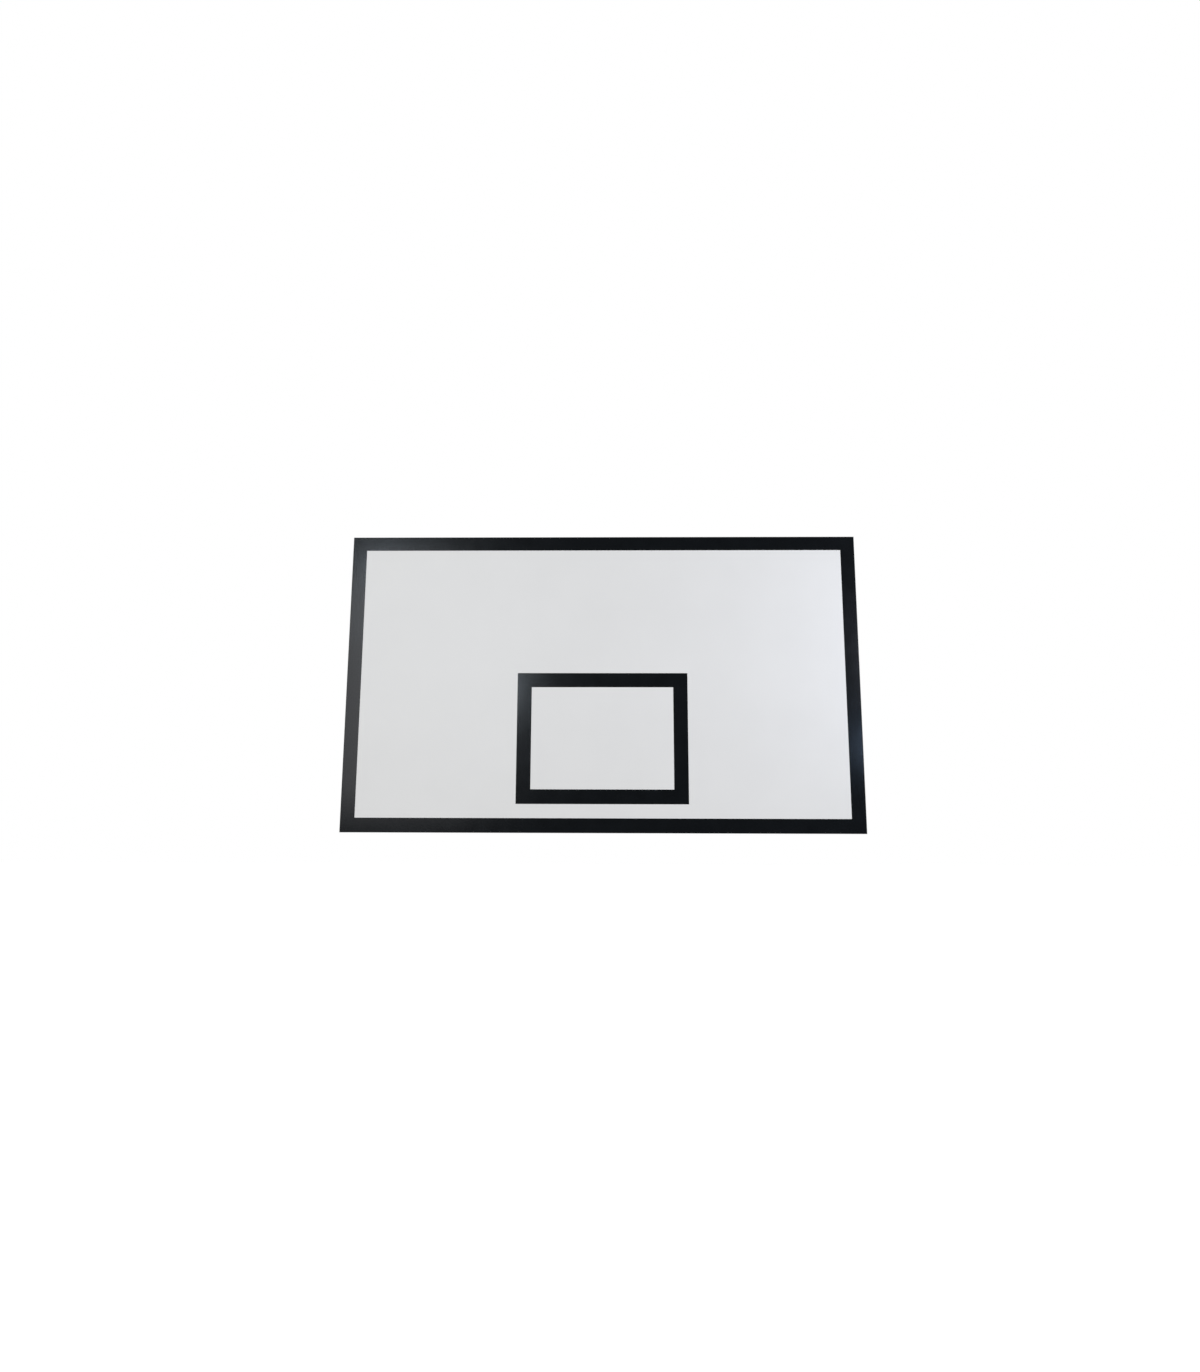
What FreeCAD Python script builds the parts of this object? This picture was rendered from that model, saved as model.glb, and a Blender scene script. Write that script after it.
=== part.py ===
"""Basketball backboard: a white laminated plywood panel on a welded steel tube frame.

+X points to the right of a player who faces the board, +Y away from the court and +Z up.
The origin is the centre of the four support slots, on the rear face of the mount plates.
A level is a height above the board's bottom edge. All lengths are millimetres.
"""

import FreeCAD
import Part

import math
import os

Vector = FreeCAD.Vector

# Panel
BOARD_WIDTH = 1800.0
BOARD_HEIGHT = 1050.0
CORE_THICKNESS = 20.0
FACE_LAMINATE_THICKNESS = 1.0
BACK_LAMINATE_THICKNESS = 1.0
EDGE_BAND_THICKNESS = 2.0
EDGE_BAND_ROUNDING = 1.0

# Black lines on the face: the ring level is the top of the target's base line
LINE_WIDTH = 50.0
LINE_FILM_THICKNESS = 0.2
TARGET_WIDTH = 595.0
TARGET_HEIGHT = 455.0
RING_LEVEL = 148.0

# Bolt holes for a ring, and the steel bushes that keep its bolts from crushing the core
RING_HOLE_SPACING_X = 110.0
RING_HOLE_SPACING_Z = 90.0
RING_HOLE_DROP = 23.0
RING_HOLE_DIAMETER = 13.0
RING_BUSH_WALL = 3.5
RING_BUSH_CLEARANCE = 0.1

# How far the line films are trimmed back from the rim of a ring hole
FILM_TRIM = 0.5

# Stick-on caps that close the ring holes until a ring is fitted
CAP_LAP = 3.0
CAP_THICKNESS = 0.5

# Ring beam: a folded channel between the uprights, as deep as the rails, its web against the panel
RING_BEAM_HEIGHT = 140.0
RING_BEAM_THICKNESS = 5.0
RING_BEAM_BEND_RADIUS = 5.0

# Perimeter and middle rails of square tube: the middle one lies above the board's mid height
FRAME_INSET = 40.0
RAIL_SIZE = 40.0
RAIL_WALL = 2.0
RAIL_CORNER_RADIUS = 4.0
MID_RAIL_RISE = 35.0

# Holes in the rear wall of the tubes that let zinc drain out when the frame is dipped
VENT_HOLE_DIAMETER = 10.0
VENT_HOLE_INSET = 75.0

# Uprights of rectangular tube, as deep as the rails
UPRIGHT_SPACING = 600.0
UPRIGHT_WIDTH = 60.0
UPRIGHT_WALL = 3.0
UPRIGHT_CORNER_RADIUS = 6.0

# Plastic plugs in the open lower ends of the uprights
PLUG_FLANGE_THICKNESS = 3.0
PLUG_DEPTH = 15.0
PLUG_WALL = 2.0
PLUG_CLEARANCE = 0.2

# Gusset plates in the frame's corners
GUSSET_LEG = 90.0
GUSSET_THICKNESS = 4.0
GUSSET_CLIP = 14.0

# Tabs welded to the tubes, through which the panel is bolted on from behind
TAB_LENGTH = 45.0
TAB_REACH = 32.0
TAB_THICKNESS = 5.0
TAB_CORNER_CUT = 8.0
TAB_HOLE_CLEARANCE = 0.5

# Places of the tabs along the middle bay, from its centre, and the side bays, from the upright
MIDDLE_BAY_TOP_SHARES = (-0.55, 0.55)
SIDE_BAY_TOP_SHARES = (0.65,)
SIDE_BAY_MIDDLE_SHARES = (0.5,)
SIDE_BAY_BOTTOM_SHARES = (0.25, 0.72)

# Panel bolts, their washers and the threaded inserts in the core
BOLT_DIAMETER = 8.0
BOLT_HEAD_WIDTH = 13.0
BOLT_HEAD_HEIGHT = 5.3
BOLT_HEAD_FACE_SHARE = 0.95
BOLT_CHAMFER_DEGREES = 30.0
BOLT_TIP_GAP = 2.6
BOLT_TIP_CHAMFER = 1.0
WASHER_DIAMETER = 16.0
WASHER_THICKNESS = 1.6
WASHER_CLEARANCE = 0.2
INSERT_WALL = 2.0
INSERT_COVER = 5.0
INSERT_CLEARANCE = 0.1

# Mount plates on the back of the uprights, each with one slot for a support bolt
MOUNT_EDGE_DISTANCE = 175.0
MOUNT_SLOT_REACH = 45.0
MOUNT_SLOT_WIDTH = 14.0
MOUNT_SLOT_LENGTH = 34.0
MOUNT_PLATE_HEIGHT = 90.0
MOUNT_PLATE_THICKNESS = 8.0
MOUNT_PLATE_MARGIN = 20.0
MOUNT_PLATE_SETBACK = 6.0
MOUNT_PLATE_CORNER_RADIUS = 10.0

# Ribs that stiffen each mount plate where it overhangs its upright
RIB_THICKNESS = 5.0
RIB_REACH = 60.0
RIB_PANEL_GAP = 10.0
RIB_EDGE_INSET = 5.0
RIB_TIP = 8.0

# How far a cutting tool runs past the face that it leaves
CUT_OVERRUN = 1.0

# Levels through the thickness, from the rear face of the mount plates to the face of the board
Y_FRAME_REAR = -MOUNT_PLATE_THICKNESS
Y_FRAME_FRONT = Y_FRAME_REAR - RAIL_SIZE
Y_FRAME_MIDDLE = (Y_FRAME_REAR + Y_FRAME_FRONT) / 2
Y_CORE_REAR = Y_FRAME_FRONT - BACK_LAMINATE_THICKNESS
Y_CORE_FRONT = Y_CORE_REAR - CORE_THICKNESS
Y_FACE = Y_CORE_FRONT - FACE_LAMINATE_THICKNESS
Y_FILM = Y_FACE - LINE_FILM_THICKNESS

# Outlines across the board
BOARD_RIGHT = BOARD_WIDTH / 2
BOARD_TOP = BOARD_HEIGHT / 2
BOARD_BOTTOM = -BOARD_TOP
SHEET_RIGHT = BOARD_RIGHT - EDGE_BAND_THICKNESS
SHEET_TOP = BOARD_TOP - EDGE_BAND_THICKNESS
FRAME_RIGHT = BOARD_RIGHT - FRAME_INSET
FRAME_TOP = BOARD_TOP - FRAME_INSET
FRAME_BOTTOM = -FRAME_TOP
BAY_RIGHT = FRAME_RIGHT - RAIL_SIZE
BAY_TOP = FRAME_TOP - RAIL_SIZE
BAY_BOTTOM = -BAY_TOP
UPRIGHT_X = UPRIGHT_SPACING / 2
UPRIGHT_INNER = UPRIGHT_X - UPRIGHT_WIDTH / 2
UPRIGHT_OUTER = UPRIGHT_X + UPRIGHT_WIDTH / 2
MID_RAIL_TOP = MID_RAIL_RISE + RAIL_SIZE / 2
MID_RAIL_BOTTOM = MID_RAIL_RISE - RAIL_SIZE / 2
RING_HOLE_TOP_Z = BOARD_BOTTOM + RING_LEVEL - RING_HOLE_DROP
RING_HOLE_BOTTOM_Z = RING_HOLE_TOP_Z - RING_HOLE_SPACING_Z
RING_BEAM_Z = (RING_HOLE_TOP_Z + RING_HOLE_BOTTOM_Z) / 2
UPRIGHT_BOTTOM = RING_BEAM_Z - RING_BEAM_HEIGHT / 2
MOUNT_X = UPRIGHT_OUTER + MOUNT_SLOT_REACH
MOUNT_Z = BOARD_TOP - MOUNT_EDGE_DISTANCE

# Fits
RING_BUSH_DIAMETER = RING_HOLE_DIAMETER + 2 * RING_BUSH_WALL
FILM_HOLE_DIAMETER = RING_HOLE_DIAMETER + 2 * FILM_TRIM
CAP_DIAMETER = FILM_HOLE_DIAMETER + 2 * CAP_LAP
BUSH_HOLE_DIAMETER = RING_BUSH_DIAMETER + 2 * RING_BUSH_CLEARANCE
INSERT_BORE_DIAMETER = BOLT_DIAMETER + 2 * INSERT_CLEARANCE
INSERT_DIAMETER = INSERT_BORE_DIAMETER + 2 * INSERT_WALL
INSERT_HOLE_DIAMETER = INSERT_DIAMETER + 2 * INSERT_CLEARANCE
INSERT_LENGTH = CORE_THICKNESS + BACK_LAMINATE_THICKNESS - INSERT_COVER
TAB_HOLE_DIAMETER = BOLT_DIAMETER + 2 * TAB_HOLE_CLEARANCE
WASHER_HOLE_DIAMETER = BOLT_DIAMETER + 2 * WASHER_CLEARANCE
BOLT_LENGTH = TAB_THICKNESS + WASHER_THICKNESS + INSERT_LENGTH - BOLT_TIP_GAP

# The two sides of the board, as signs of X, with the names that a player would give them
SIDES = {"left": -1, "right": 1}
ALONG_X = Vector(1, 0, 0)
ALONG_Y = Vector(0, 1, 0)
ALONG_Z = Vector(0, 0, 1)


def block(x_low, x_high, y_low, y_high, z_low, z_high):
    """A solid block between two opposite corners."""
    size = (x_high - x_low, y_high - y_low, z_high - z_low)
    return Part.makeBox(*size, Vector(x_low, y_low, z_low))


def rod(x, z, diameter, y_low, y_high):
    """A round bar along Y."""
    return Part.makeCylinder(diameter / 2, y_high - y_low, Vector(x, y_low, z), ALONG_Y)


def plate(outline, y_low, y_high):
    """A flat plate that stands in the XZ plane, from a list of (x, z) corners."""
    corners = [Vector(x, y_low, z) for x, z in outline]
    face = Part.Face(Part.makePolygon(corners + corners[:1]))
    return face.extrude(Vector(0, y_high - y_low, 0))


def mirrored_outline(outline, sign):
    """The same outline on the left (sign -1) or right (sign 1) half of the board."""
    return [(sign * x, z) for x, z in outline]


def rounded_outline(centre, along_u, along_v, width, height, radius):
    """A rectangle with round corners about a point, in the plane of two unit vectors."""

    def at(u, v):
        return centre + along_u * u + along_v * v

    straight_u = width / 2 - radius
    straight_v = height / 2 - radius
    if radius <= 0:
        sharp = [at(width / 2 * u, height / 2 * v) for u, v in ((1, 1), (-1, 1), (-1, -1), (1, -1))]
        return Part.makePolygon(sharp + sharp[:1])
    bulge = radius * math.sqrt(0.5)
    edges = []
    for sign_u, sign_v in ((1, 1), (-1, 1), (-1, -1), (1, -1)):
        u, v = sign_u * straight_u, sign_v * straight_v
        on_u_side = at(u + sign_u * radius, v)
        on_v_side = at(u, v + sign_v * radius)
        middle = at(u + sign_u * bulge, v + sign_v * bulge)
        first, last = (on_u_side, on_v_side) if sign_u == sign_v else (on_v_side, on_u_side)
        if edges:
            edges.append(Part.LineSegment(edges[-1].EndPoint, first))
        edges.append(Part.Arc(first, middle, last))
    edges.append(Part.LineSegment(edges[-1].EndPoint, edges[0].StartPoint))
    return Part.Wire([edge.toShape() for edge in edges])


def tube(start, end, across, width, radius, wall):
    """A tube from start to end, as deep as the frame, with its width along a unit vector."""
    run = end - start
    overrun = Vector(run).normalize() * CUT_OVERRUN
    outside = rounded_outline(start, across, ALONG_Y, width, RAIL_SIZE, radius)
    hollow = (width - 2 * wall, RAIL_SIZE - 2 * wall, radius - wall)
    inside = rounded_outline(start - overrun, across, ALONG_Y, *hollow)
    bar = Part.Face(outside).extrude(run)
    return bar.cut(Part.Face(inside).extrude(run + 2 * overrun))


def rail_along_x(x_low, x_high, z):
    """A square rail between two places along X."""
    start, end = Vector(x_low, Y_FRAME_MIDDLE, z), Vector(x_high, Y_FRAME_MIDDLE, z)
    return tube(start, end, ALONG_Z, RAIL_SIZE, RAIL_CORNER_RADIUS, RAIL_WALL)


def rail_along_z(x, z_low, z_high):
    """A square rail between two heights."""
    start, end = Vector(x, Y_FRAME_MIDDLE, z_low), Vector(x, Y_FRAME_MIDDLE, z_high)
    return tube(start, end, ALONG_X, RAIL_SIZE, RAIL_CORNER_RADIUS, RAIL_WALL)


def mitred(rail, outline):
    """A rail cut to an outline of (x, z) corners, such as one with ends at 45 degrees."""
    return rail.common(plate(outline, Y_FRAME_FRONT - CUT_OVERRUN, Y_FRAME_REAR + CUT_OVERRUN))


def vented(rail, places):
    """A tube with a round vent hole in its rear wall at each (x, z) place."""
    for x, z in places:
        deepest = Y_FRAME_REAR - RAIL_WALL - CUT_OVERRUN
        rail = rail.cut(rod(x, z, VENT_HOLE_DIAMETER, deepest, Y_FRAME_REAR + CUT_OVERRUN))
    return rail


def ring_hole_places():
    """The (x, z) centres of the four ring bolts, the upper pair first."""
    half = RING_HOLE_SPACING_X / 2
    return [(x, z) for z in (RING_HOLE_TOP_Z, RING_HOLE_BOTTOM_Z) for x in (-half, half)]


def drilled(shape, places, diameter, y_low, y_high):
    """A shape with a round hole along Y at each (x, z) place."""
    for x, z in places:
        shape = shape.cut(rod(x, z, diameter, y_low - CUT_OVERRUN, y_high + CUT_OVERRUN))
    return shape


def tab_places():
    """Where each fixing tab meets its tube: (x, z) on the tube's face and (x, z) away from the tube."""
    down, up = (0, -1), (0, 1)
    side_rows = (
        (SIDE_BAY_TOP_SHARES, BAY_TOP, down),
        (SIDE_BAY_MIDDLE_SHARES, MID_RAIL_TOP, up),
        (SIDE_BAY_BOTTOM_SHARES, BAY_BOTTOM, up),
    )
    places = [(share * UPRIGHT_INNER, BAY_TOP, down) for share in MIDDLE_BAY_TOP_SHARES]
    places.append((0, MID_RAIL_TOP, up))
    for sign in SIDES.values():
        for shares, z, out in side_rows:
            for share in shares:
                places.append((sign * (UPRIGHT_OUTER + share * (BAY_RIGHT - UPRIGHT_OUTER)), z, out))
        for z_low, z_high in ((BAY_BOTTOM, MID_RAIL_BOTTOM), (MID_RAIL_TOP, BAY_TOP)):
            places.append((sign * BAY_RIGHT, (z_low + z_high) / 2, (-sign, 0)))
    return places


def panel_bolt_places():
    """The (x, z) axes of the panel bolts, half way out along their tabs."""
    half = TAB_REACH / 2
    return [(x + out_x * half, z + out_z * half) for x, z, (out_x, out_z) in tab_places()]


def sheet(y_low, y_high):
    """One full sheet of the panel, inside the edge bands."""
    return block(-SHEET_RIGHT, SHEET_RIGHT, y_low, y_high, -SHEET_TOP, SHEET_TOP)


def panel_core():
    """The plywood core, with through holes for the ring bushes and blind ones for the inserts."""
    core = sheet(Y_CORE_FRONT, Y_CORE_REAR)
    core = drilled(core, ring_hole_places(), BUSH_HOLE_DIAMETER, Y_CORE_FRONT, Y_CORE_REAR)
    blind_end = Y_FRAME_FRONT - INSERT_LENGTH
    for x, z in panel_bolt_places():
        core = core.cut(rod(x, z, INSERT_HOLE_DIAMETER, blind_end, Y_CORE_REAR + CUT_OVERRUN))
    return core


def face_laminate():
    """The white sheet that players see, drilled only for the ring bolts."""
    face = sheet(Y_FACE, Y_CORE_FRONT)
    return drilled(face, ring_hole_places(), RING_HOLE_DIAMETER, Y_FACE, Y_CORE_FRONT)


def back_laminate():
    """The balancing sheet on the back, drilled for the bushes and the inserts."""
    back = sheet(Y_CORE_REAR, Y_FRAME_FRONT)
    back = drilled(back, ring_hole_places(), BUSH_HOLE_DIAMETER, Y_CORE_REAR, Y_FRAME_FRONT)
    return drilled(back, panel_bolt_places(), INSERT_HOLE_DIAMETER, Y_CORE_REAR, Y_FRAME_FRONT)


def edge_bands():
    """The four strips round the panel's edge: the top and bottom ones run the full width."""
    body = block(-BOARD_RIGHT, BOARD_RIGHT, Y_FACE, Y_FRAME_FRONT, BOARD_BOTTOM, BOARD_TOP)
    around = [edge for edge in body.Edges if edge.BoundBox.YLength < CORE_THICKNESS / 2]
    ring = body.makeFillet(min(EDGE_BAND_ROUNDING, EDGE_BAND_THICKNESS / 2), around)
    ring = ring.cut(sheet(Y_FACE - CUT_OVERRUN, Y_FRAME_FRONT + CUT_OVERRUN))
    right, top = BOARD_RIGHT + CUT_OVERRUN, BOARD_TOP + CUT_OVERRUN
    depth = (Y_FACE - CUT_OVERRUN, Y_FRAME_FRONT + CUT_OVERRUN)
    zones = {
        "edge_band_top": block(-right, right, *depth, SHEET_TOP, top),
        "edge_band_bottom": block(-right, right, *depth, -top, -SHEET_TOP),
        "edge_band_left": block(-right, -SHEET_RIGHT, *depth, -SHEET_TOP, SHEET_TOP),
        "edge_band_right": block(SHEET_RIGHT, right, *depth, -SHEET_TOP, SHEET_TOP),
    }
    return {name: ring.common(zone) for name, zone in zones.items()}


def border_line():
    """The black border, printed up to the edge bands, which finish its width."""
    window_x, window_z = BOARD_RIGHT - LINE_WIDTH, BOARD_TOP - LINE_WIDTH
    depth = (Y_FILM - CUT_OVERRUN, Y_FACE + CUT_OVERRUN)
    film = sheet(Y_FILM, Y_FACE).cut(block(-window_x, window_x, *depth, -window_z, window_z))
    return drilled(film, ring_hole_places(), FILM_HOLE_DIAMETER, Y_FILM, Y_FACE)


def target_line():
    """The black rectangle that a player aims at, its base line level with the ring."""
    right = TARGET_WIDTH / 2
    bottom = BOARD_BOTTOM + RING_LEVEL - LINE_WIDTH
    top = bottom + TARGET_HEIGHT
    inner = right - LINE_WIDTH
    film = block(-right, right, Y_FILM, Y_FACE, bottom, top)
    depth = (Y_FILM - CUT_OVERRUN, Y_FACE + CUT_OVERRUN)
    film = film.cut(block(-inner, inner, *depth, bottom + LINE_WIDTH, top - LINE_WIDTH))
    return drilled(film, ring_hole_places(), FILM_HOLE_DIAMETER, Y_FILM, Y_FACE)


def ring_bushes():
    """Steel bushes through the core, between the face laminate and the ring beam's web."""
    bushes = []
    for x, z in ring_hole_places():
        bush = rod(x, z, RING_BUSH_DIAMETER, Y_CORE_FRONT, Y_FRAME_FRONT)
        bushes.append(drilled(bush, [(x, z)], RING_HOLE_DIAMETER, Y_CORE_FRONT, Y_FRAME_FRONT))
    return Part.makeCompound(bushes)


def ring_hole_caps():
    """Thin round caps stuck over the ring holes, in the black of the lines."""
    front = Y_FILM - CAP_THICKNESS
    return Part.makeCompound([rod(x, z, CAP_DIAMETER, front, Y_FILM) for x, z in ring_hole_places()])


def top_rail():
    """The top rail, mitred to both stiles."""
    outline = [(-FRAME_RIGHT, FRAME_TOP), (FRAME_RIGHT, FRAME_TOP)]
    outline += [(BAY_RIGHT, BAY_TOP), (-BAY_RIGHT, BAY_TOP)]
    middle = (FRAME_TOP + BAY_TOP) / 2
    rail = mitred(rail_along_x(-FRAME_RIGHT, FRAME_RIGHT, middle), outline)
    vent = FRAME_RIGHT - VENT_HOLE_INSET
    return vented(rail, [(-vent, middle), (vent, middle)])


def stile(sign):
    """A side member of the frame, mitred at both ends."""
    outline = [(FRAME_RIGHT, FRAME_TOP), (BAY_RIGHT, BAY_TOP)]
    outline += [(BAY_RIGHT, BAY_BOTTOM), (FRAME_RIGHT, FRAME_BOTTOM)]
    middle = sign * (FRAME_RIGHT + BAY_RIGHT) / 2
    rail = rail_along_z(middle, FRAME_BOTTOM, FRAME_TOP)
    vent = FRAME_TOP - VENT_HOLE_INSET
    return vented(mitred(rail, mirrored_outline(outline, sign)), [(middle, -vent), (middle, vent)])


def bottom_rail(sign):
    """Half of the bottom rail, from an upright to the mitre with its stile."""
    outline = [(UPRIGHT_OUTER, FRAME_BOTTOM), (FRAME_RIGHT, FRAME_BOTTOM)]
    outline += [(BAY_RIGHT, BAY_BOTTOM), (UPRIGHT_OUTER, BAY_BOTTOM)]
    middle = (FRAME_BOTTOM + BAY_BOTTOM) / 2
    rail = rail_along_x(*sorted((sign * UPRIGHT_OUTER, sign * FRAME_RIGHT)), middle)
    vent = sign * (FRAME_RIGHT - VENT_HOLE_INSET)
    return vented(mitred(rail, mirrored_outline(outline, sign)), [(vent, middle)])


def mid_rails():
    """The middle rail in three lengths, between the stiles and the uprights."""
    return {
        "mid_rail_left": rail_along_x(-BAY_RIGHT, -UPRIGHT_OUTER, MID_RAIL_RISE),
        "mid_rail_centre": rail_along_x(-UPRIGHT_INNER, UPRIGHT_INNER, MID_RAIL_RISE),
        "mid_rail_right": rail_along_x(UPRIGHT_OUTER, BAY_RIGHT, MID_RAIL_RISE),
    }


def upright(sign):
    """A heavy tube from the foot of the ring beam up to the top rail."""
    start = Vector(sign * UPRIGHT_X, Y_FRAME_MIDDLE, UPRIGHT_BOTTOM)
    end = Vector(sign * UPRIGHT_X, Y_FRAME_MIDDLE, BAY_TOP)
    return tube(start, end, ALONG_X, UPRIGHT_WIDTH, UPRIGHT_CORNER_RADIUS, UPRIGHT_WALL)


def upright_plugs():
    """Push-in plugs: a flange under each upright and a hollow body up inside it."""
    inset = UPRIGHT_WALL + PLUG_CLEARANCE
    body_width, body_depth = UPRIGHT_WIDTH - 2 * inset, RAIL_SIZE - 2 * inset
    body_radius = UPRIGHT_CORNER_RADIUS - inset
    bore = (body_width - 2 * PLUG_WALL, body_depth - 2 * PLUG_WALL, body_radius)
    plugs = []
    for sign in SIDES.values():
        top = Vector(sign * UPRIGHT_X, Y_FRAME_MIDDLE, UPRIGHT_BOTTOM)
        foot = top - ALONG_Z * PLUG_FLANGE_THICKNESS
        rim = rounded_outline(foot, ALONG_X, ALONG_Y, UPRIGHT_WIDTH, RAIL_SIZE, UPRIGHT_CORNER_RADIUS)
        flange = Part.Face(rim).extrude(ALONG_Z * PLUG_FLANGE_THICKNESS)
        sleeve = rounded_outline(top, ALONG_X, ALONG_Y, body_width, body_depth, body_radius)
        hollow = rounded_outline(top, ALONG_X, ALONG_Y, *bore)
        body = Part.Face(sleeve).extrude(ALONG_Z * PLUG_DEPTH)
        body = body.cut(Part.Face(hollow).extrude(ALONG_Z * (PLUG_DEPTH + CUT_OVERRUN)))
        plugs.append(flange.fuse(body).removeSplitter())
    return Part.makeCompound(plugs)


def ring_beam():
    """The folded channel that carries the ring: web to the front, flanges to the rear."""
    web_rear = Y_FRAME_FRONT + RING_BEAM_THICKNESS
    start, length = Vector(-UPRIGHT_INNER, Y_FRAME_REAR, RING_BEAM_Z), 2 * UPRIGHT_INNER * ALONG_X
    # Both outlines are closed boxes about the open rear side, and only their front half is kept
    outer = (2 * RAIL_SIZE, RING_BEAM_HEIGHT, RING_BEAM_BEND_RADIUS + RING_BEAM_THICKNESS)
    inner = (
        2 * (RAIL_SIZE - RING_BEAM_THICKNESS),
        RING_BEAM_HEIGHT - 2 * RING_BEAM_THICKNESS,
        RING_BEAM_BEND_RADIUS,
    )
    outside, inside = (
        Part.Face(rounded_outline(start, ALONG_Y, ALONG_Z, *size)).extrude(length) for size in (outer, inner)
    )
    low, high = RING_BEAM_Z - RING_BEAM_HEIGHT, RING_BEAM_Z + RING_BEAM_HEIGHT
    front_half = block(-UPRIGHT_INNER, UPRIGHT_INNER, Y_FRAME_FRONT, Y_FRAME_REAR, low, high)
    channel = outside.cut(inside).common(front_half)
    return drilled(channel, ring_hole_places(), RING_HOLE_DIAMETER, Y_FRAME_FRONT, web_rear)


def corner_gussets():
    """A triangular plate in each inside corner, clipped to clear the mitre weld."""
    depth = (Y_FRAME_MIDDLE - GUSSET_THICKNESS / 2, Y_FRAME_MIDDLE + GUSSET_THICKNESS / 2)
    gussets = []
    for sign_x in (-1, 1):
        for sign_z in (-1, 1):
            legs = [(GUSSET_CLIP, 0), (GUSSET_LEG, 0), (0, GUSSET_LEG), (0, GUSSET_CLIP)]
            outline = [(sign_x * (BAY_RIGHT - x), sign_z * (BAY_TOP - z)) for x, z in legs]
            gussets.append(plate(outline, *depth))
    return Part.makeCompound(gussets)


def fixing_tabs():
    """Flat lugs flush with the front of the frame, each drilled for one panel bolt."""
    half, cut = TAB_LENGTH / 2, TAB_CORNER_CUT
    shape = [(-half, 0), (half, 0), (half, TAB_REACH - cut), (half - cut, TAB_REACH)]
    shape += [(cut - half, TAB_REACH), (-half, TAB_REACH - cut)]
    front, rear = Y_FRAME_FRONT, Y_FRAME_FRONT + TAB_THICKNESS
    tabs = []
    for (x, z, (out_x, out_z)), bolt in zip(tab_places(), panel_bolt_places()):
        outline = [(x + out_z * u + out_x * v, z + out_x * u + out_z * v) for u, v in shape]
        tabs.append(drilled(plate(outline, front, rear), [bolt], TAB_HOLE_DIAMETER, front, rear))
    return Part.makeCompound(tabs)


def panel_inserts():
    """Threaded sleeves glued into the back of the core, flush with the back laminate."""
    front, rear = Y_FRAME_FRONT - INSERT_LENGTH, Y_FRAME_FRONT
    inserts = []
    for x, z in panel_bolt_places():
        sleeve = rod(x, z, INSERT_DIAMETER, front, rear)
        inserts.append(drilled(sleeve, [(x, z)], INSERT_BORE_DIAMETER, front, rear))
    return Part.makeCompound(inserts)


def panel_washers():
    """One flat washer on each tab."""
    front = Y_FRAME_FRONT + TAB_THICKNESS
    rear = front + WASHER_THICKNESS
    washers = []
    for x, z in panel_bolt_places():
        disc = rod(x, z, WASHER_DIAMETER, front, rear)
        washers.append(drilled(disc, [(x, z)], WASHER_HOLE_DIAMETER, front, rear))
    return Part.makeCompound(washers)


def hexagon_bolt(x, z, seat):
    """A hexagon bolt along Y, its head behind the seat and its shank in front of it."""
    flat = BOLT_HEAD_WIDTH / 2
    corner = flat / math.cos(math.pi / 6)
    turns = [math.pi / 3 * n for n in range(6)]
    outline = [(x + corner * math.cos(t), z + corner * math.sin(t)) for t in turns]
    top = seat + BOLT_HEAD_HEIGHT
    head = plate(outline, seat, top)
    face = flat * BOLT_HEAD_FACE_SHARE
    drop = (corner - face) * math.tan(math.radians(BOLT_CHAMFER_DEGREES))
    lower = rod(x, z, 2 * corner, seat, top - drop)
    crown = Part.makeCone(corner, face, drop, Vector(x, top - drop, z), ALONG_Y)
    head = head.common(lower.fuse(crown))
    radius = BOLT_DIAMETER / 2
    tip = seat - BOLT_LENGTH
    shank = rod(x, z, BOLT_DIAMETER, tip + BOLT_TIP_CHAMFER, seat)
    point = Part.makeCone(radius - BOLT_TIP_CHAMFER, radius, BOLT_TIP_CHAMFER, Vector(x, tip, z), ALONG_Y)
    return head.fuse([shank, point]).removeSplitter()


def panel_bolts():
    """The bolts that hold the panel to the frame, all from behind."""
    seat = Y_FRAME_FRONT + TAB_THICKNESS + WASHER_THICKNESS
    return Part.makeCompound([hexagon_bolt(x, z, seat) for x, z in panel_bolt_places()])


def slot(x, z, y_low, y_high):
    """A horizontal slot along Y, as a solid to cut with."""
    half = (MOUNT_SLOT_LENGTH - MOUNT_SLOT_WIDTH) / 2
    radius = MOUNT_SLOT_WIDTH / 2
    ends = [rod(x + side, z, MOUNT_SLOT_WIDTH, y_low, y_high) for side in (-half, half)]
    return block(x - half, x + half, y_low, y_high, z - radius, z + radius).fuse(ends).removeSplitter()


def mount_plate(sign_x, sign_z):
    """A plate on the back of an upright, with a slot where it overhangs the outer side."""
    inner = UPRIGHT_INNER + MOUNT_PLATE_SETBACK
    outer = MOUNT_X + MOUNT_SLOT_LENGTH / 2 + MOUNT_PLATE_MARGIN
    x, z = sign_x * MOUNT_X, sign_z * MOUNT_Z
    centre = Vector(sign_x * (inner + outer) / 2, Y_FRAME_REAR, z)
    size = (outer - inner, MOUNT_PLATE_HEIGHT, MOUNT_PLATE_CORNER_RADIUS)
    outline = rounded_outline(centre, ALONG_X, ALONG_Z, *size)
    body = Part.Face(outline).extrude(ALONG_Y * MOUNT_PLATE_THICKNESS)
    return body.cut(slot(x, z, Y_FRAME_REAR - CUT_OVERRUN, CUT_OVERRUN))


def mount_plates():
    """The four mount plates by name."""
    heights = {"lower": -1, "upper": 1}
    return {
        f"mount_plate_{height}_{side}": mount_plate(sign_x, sign_z)
        for height, sign_z in heights.items()
        for side, sign_x in SIDES.items()
    }


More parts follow.
